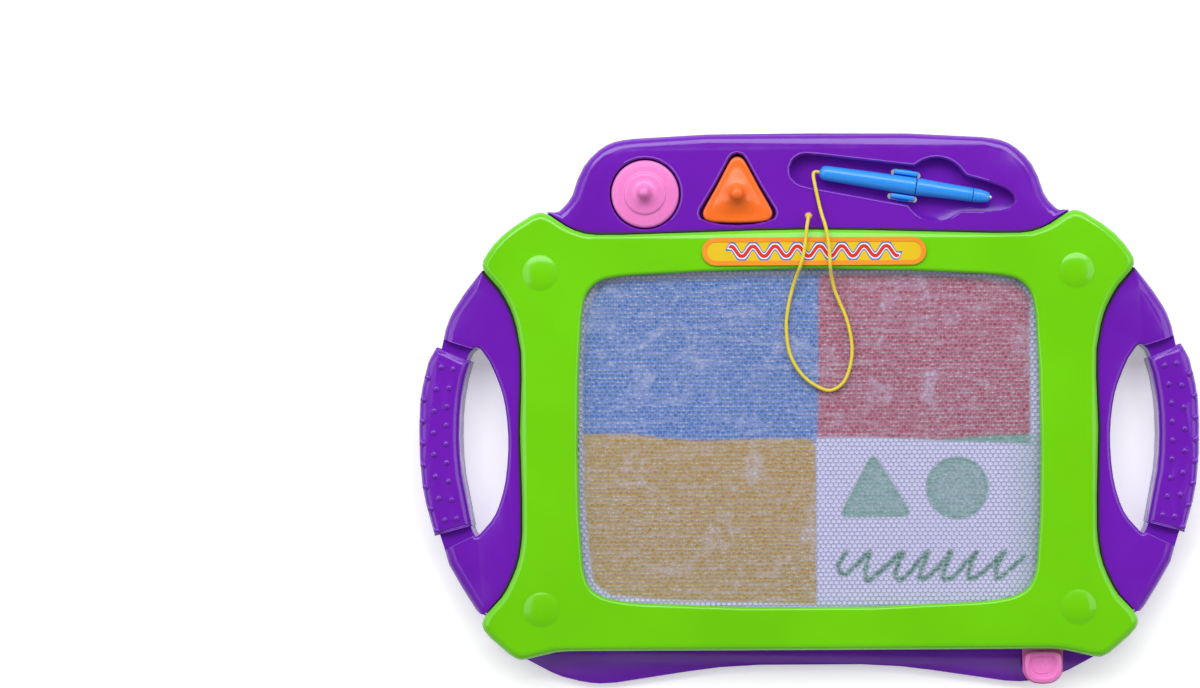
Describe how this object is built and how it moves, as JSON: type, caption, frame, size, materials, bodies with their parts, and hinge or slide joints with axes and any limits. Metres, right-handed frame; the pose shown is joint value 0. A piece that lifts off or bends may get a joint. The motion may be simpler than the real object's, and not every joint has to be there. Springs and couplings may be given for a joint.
{
  "type": "magnetic drawing board",
  "caption": "Magnetic drawing board with a honeycomb screen, a pen on a cord, two stamps in tray recesses, side hand grips and a sliding eraser bar.",
  "frame": {"origin": "middle of the board's back at the height of the surface it lies on", "axes": "+X to the right as the screen is read, +Y towards the tray, +Z out of the screen"},
  "size_m": [0.417, 0.296, 0.03],
  "materials": {
    "purple_plastic": "moulded purple plastic with a soft sheen",
    "green_plastic": "moulded bright green plastic",
    "clear_sheet": "thin clear plastic sheet",
    "white_sheet": "thin milky plastic sheet",
    "honeycomb": "pale cells with four coloured fields",
    "label_film": "printed yellow label with an orange edge",
    "steel": "plain steel",
    "black_magnet": "dark flexible magnet",
    "white_plastic": "plain white plastic",
    "pink_plastic": "moulded pink plastic",
    "orange_plastic": "moulded orange plastic",
    "blue_plastic": "moulded blue plastic",
    "yellow_cord": "soft round yellow cord"
  },
  "bodies": {
    "board": {"base_shell": "purple_plastic", "front_frame": "green_plastic", "screen_back_sheet": "white_sheet", "honeycomb_core": "honeycomb", "screen_front_film": "clear_sheet", "label_plate": "label_film", "frame_screw_1": "steel", "frame_screw_2": "steel", "frame_screw_3": "steel", "frame_screw_4": "steel", "frame_screw_5": "steel", "frame_screw_6": "steel", "frame_screw_7": "steel", "frame_screw_8": "steel", "pen_clip": "blue_plastic", "pen_cord": "yellow_cord", "cord_knot": "yellow_cord"},
    "eraser": {"eraser_bar": "white_plastic", "eraser_magnet": "black_magnet", "eraser_knob": "pink_plastic", "eraser_screw": "steel"},
    "pen": {"pen_rear_barrel": "blue_plastic", "pen_front_barrel": "blue_plastic", "pen_nose": "blue_plastic", "pen_magnet_tip": "steel"},
    "round_stamp": {"round_stamp": "pink_plastic", "round_stamp_magnet": "black_magnet"},
    "triangle_stamp": {"triangle_stamp": "orange_plastic", "triangle_stamp_magnet": "black_magnet"}
  },
  "joints": [
    {"name": "eraser_slide", "type": "slide", "parent": "board", "child": "eraser", "axis": [1, 0, 0], "range_m": [-0.2494, 0]},
    {"name": "pen_lift", "type": "slide", "parent": "board", "child": "pen", "axis": [0, 0, 1], "range_m": [0, 0.025]},
    {"name": "round_stamp_lift", "type": "slide", "parent": "board", "child": "round_stamp", "axis": [0, 0, 1], "range_m": [0, 0.025]},
    {"name": "triangle_stamp_lift", "type": "slide", "parent": "board", "child": "triangle_stamp", "axis": [0, 0, 1], "range_m": [0, 0.025]}
  ]
}
